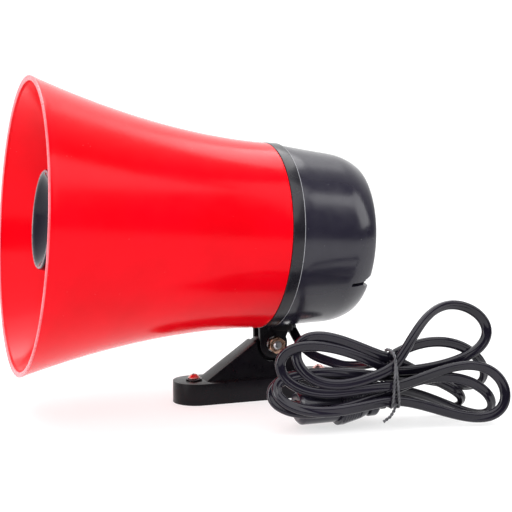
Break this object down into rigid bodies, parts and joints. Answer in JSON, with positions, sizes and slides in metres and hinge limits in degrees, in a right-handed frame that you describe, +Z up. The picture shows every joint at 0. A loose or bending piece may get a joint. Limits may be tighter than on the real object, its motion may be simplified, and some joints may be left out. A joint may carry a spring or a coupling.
{
  "type": "vehicle horn loudhailer",
  "caption": "Flared re-entrant horn loudhailer with a black rear cover on a tilting bracket and flat foot, with a tied flex and a 12 V plug.",
  "frame": {"origin": "centre of the underside of the mounting foot, where it meets the surface it stands on", "axes": "+Z up; the horn's mouth faces -X and its rear cover +X; the hinge bolt lies along Y with its nut on the -Y side"},
  "size_m": [0.2765, 0.2134, 0.205],
  "materials": {
    "red_plastic": "glossy moulded",
    "black_gloss": "satin gloss moulded",
    "black_matte": "fine matte moulded",
    "black_rubber": "satin PVC",
    "zinc_steel": "bright zinc plated",
    "copper_plated": "copper plated",
    "ferrite": "sintered ferrite",
    "circuit_green": "solder mask",
    "wire_red": "PVC insulation",
    "amber_film": "phenolic film"
  },
  "bodies": {
    "root": {"mounting_bracket": "black_matte", "foot_washer_left": "zinc_steel", "foot_screw_left": "copper_plated", "foot_washer_right": "zinc_steel", "foot_screw_right": "copper_plated", "hinge_washer_far": "zinc_steel", "hinge_washer_near": "zinc_steel", "hinge_bolt": "zinc_steel", "hinge_nut": "copper_plated", "cord_lead": "black_rubber", "cord_hank": "black_rubber", "cord_tie": "zinc_steel", "cord_tail": "black_rubber", "plug_contact_left": "zinc_steel", "plug_contact_right": "zinc_steel", "plug_barrel": "black_gloss", "plug_fuse": "zinc_steel", "plug_handle": "black_gloss", "plug_collar": "black_gloss", "plug_strain_relief": "black_rubber"},
    "horn": {"bell": "red_plastic", "neck_collar": "black_gloss", "reflex_cone": "black_gloss", "tone_tube": "black_gloss", "cone_strut_1": "black_gloss", "cone_strut_2": "black_gloss", "cone_strut_3": "black_gloss", "neck_reflector": "black_gloss", "driver_frame": "black_matte", "driver_diaphragm": "amber_film", "voice_coil": "copper_plated", "driver_top_plate": "zinc_steel", "driver_magnet": "ferrite", "driver_yoke": "zinc_steel", "rear_cover": "black_gloss", "cable_gland": "black_rubber", "rear_panel": "black_matte", "volume_potentiometer": "zinc_steel", "play_button_switch": "zinc_steel", "record_button_switch": "zinc_steel", "microphone": "zinc_steel", "circuit_board": "circuit_green", "panel_screw_1": "zinc_steel", "panel_screw_2": "zinc_steel", "panel_screw_3": "zinc_steel", "panel_screw_4": "zinc_steel", "inner_power_lead": "black_rubber", "speaker_wire_red": "wire_red", "speaker_wire_black": "black_rubber"},
    "knob": {"volume_knob": "black_gloss"},
    "play": {"play_button": "red_plastic"},
    "record": {"record_button": "black_gloss"},
    "tip": {"plug_tip": "zinc_steel"}
  },
  "joints": [
    {"name": "horn_tilt", "type": "hinge", "parent": "root", "child": "horn", "pos_m": [0.0087, 0, 0.035], "axis": [0, 1, 0], "range_deg": [-15, 35], "deforming": ["cord_lead"]},
    {"name": "volume_turn", "type": "hinge", "parent": "horn", "child": "knob", "pos_m": [0.05748, 0, 0.08959], "axis": [0.9979, 0, -0.0649], "range_deg": [0, 270]},
    {"name": "play_press", "type": "slide", "parent": "horn", "child": "play", "axis": [-0.9979, 0, 0.0649], "range_m": [0, 0.0015], "stiffness_N_per_m": 400},
    {"name": "record_press", "type": "slide", "parent": "horn", "child": "record", "axis": [-0.9979, 0, 0.0649], "range_m": [0, 0.0015], "stiffness_N_per_m": 400},
    {"name": "plug_tip_press", "type": "slide", "parent": "root", "child": "tip", "axis": [1, 0, 0], "range_m": [0, 0.0009], "stiffness_N_per_m": 600}
  ]
}
